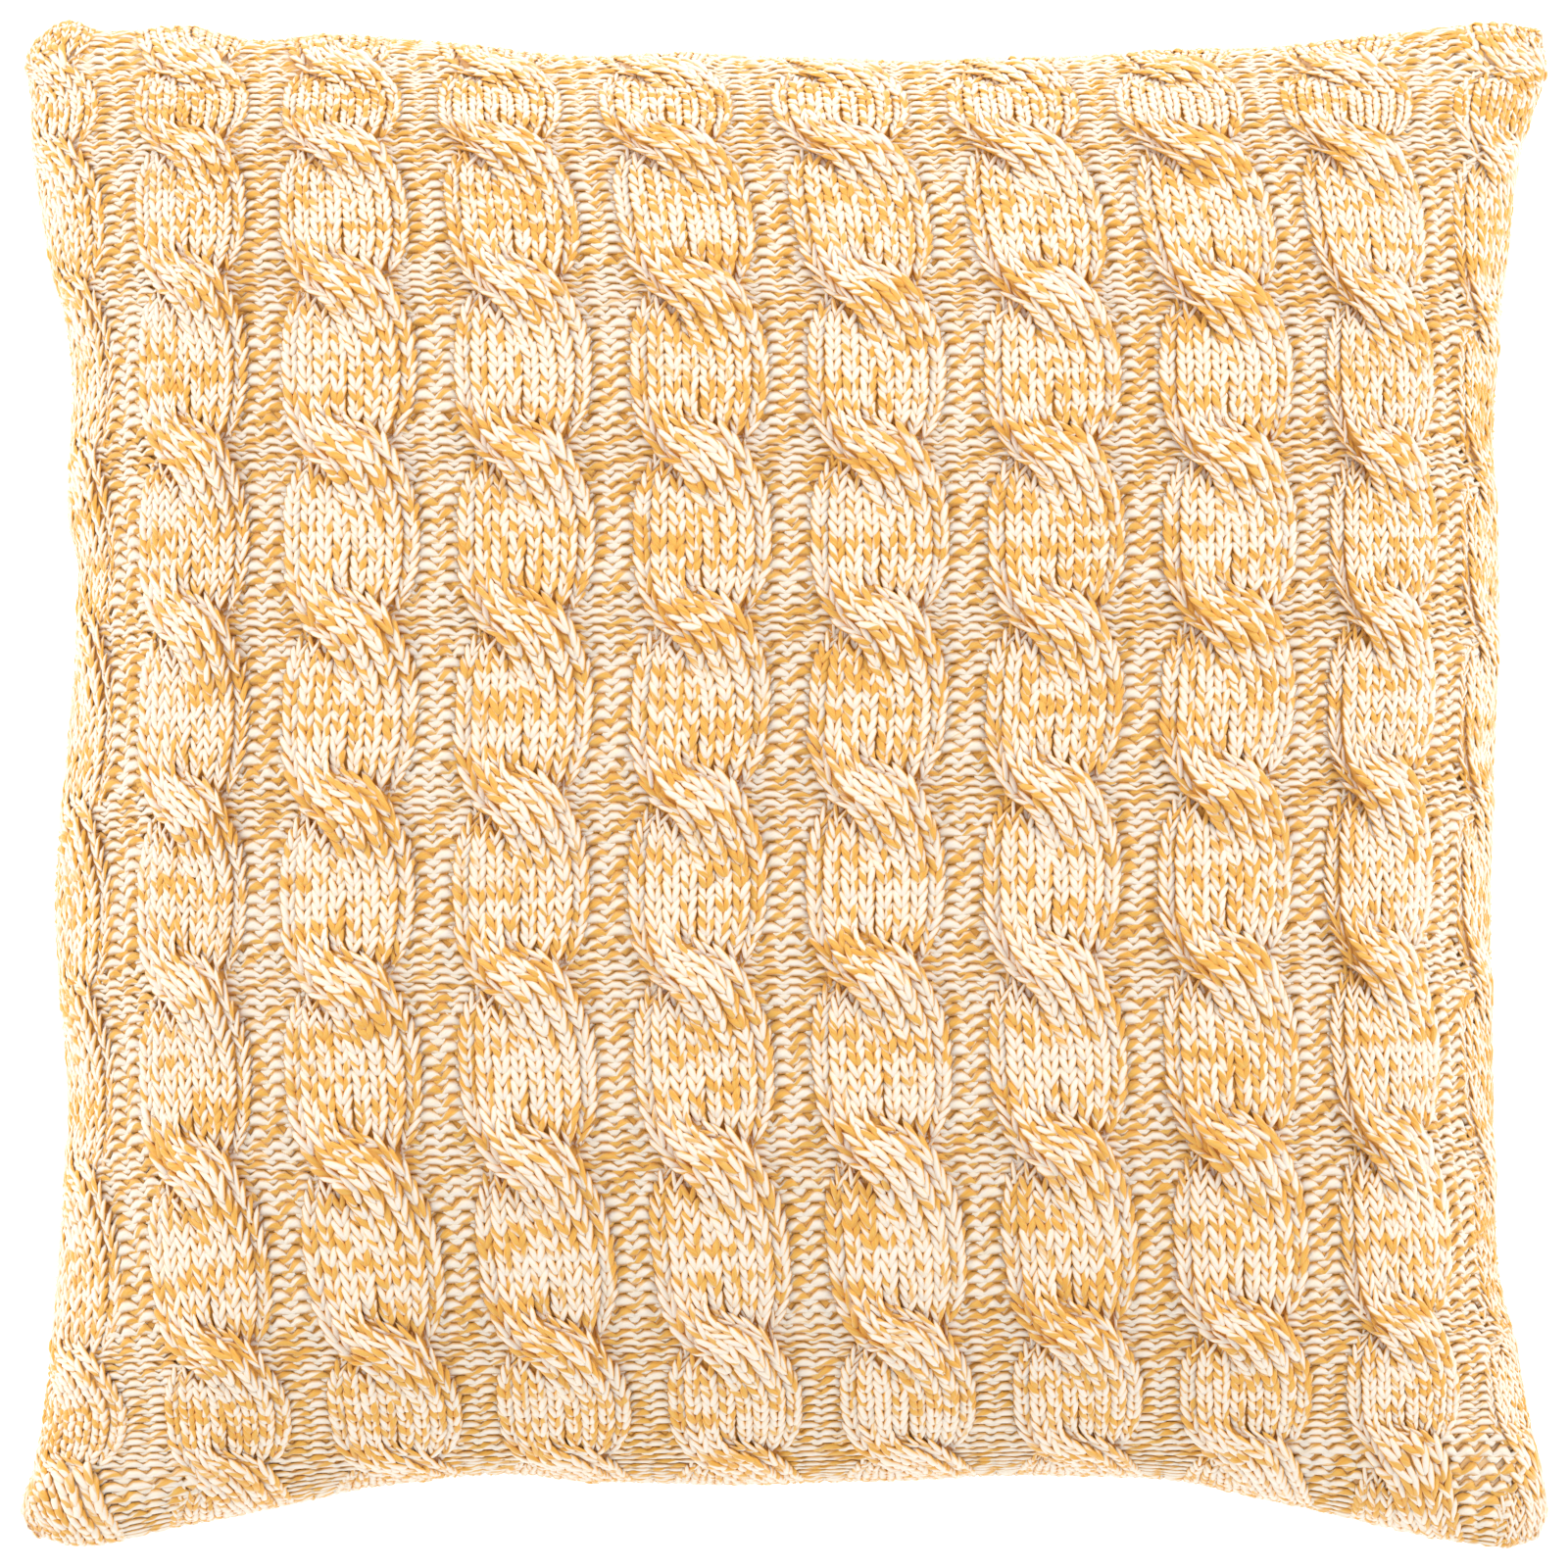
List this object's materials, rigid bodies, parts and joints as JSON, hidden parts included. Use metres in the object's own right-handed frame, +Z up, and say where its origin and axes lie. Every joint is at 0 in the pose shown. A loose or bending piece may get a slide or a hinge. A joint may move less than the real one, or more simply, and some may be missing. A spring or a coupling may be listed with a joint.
{
  "type": "knitted floor cushion",
  "caption": "Square filled floor cushion with a cable-knit face in marled cotton yarn, drawn-in sides, pointed soft corners and a plain back that lies flat.",
  "frame": {"origin": "on the floor, under the middle of the cushion's bounding box", "axes": "+Z up out of the knitted face, +X to the right side and +Y to the top side of the face as it is looked at"},
  "size_m": [0.5956, 0.5972, 0.1684],
  "materials": {
    "marled_knit": "matte"
  },
  "bodies": {
    "root": {"knitted_cushion": "marled_knit"}
  },
  "joints": []
}
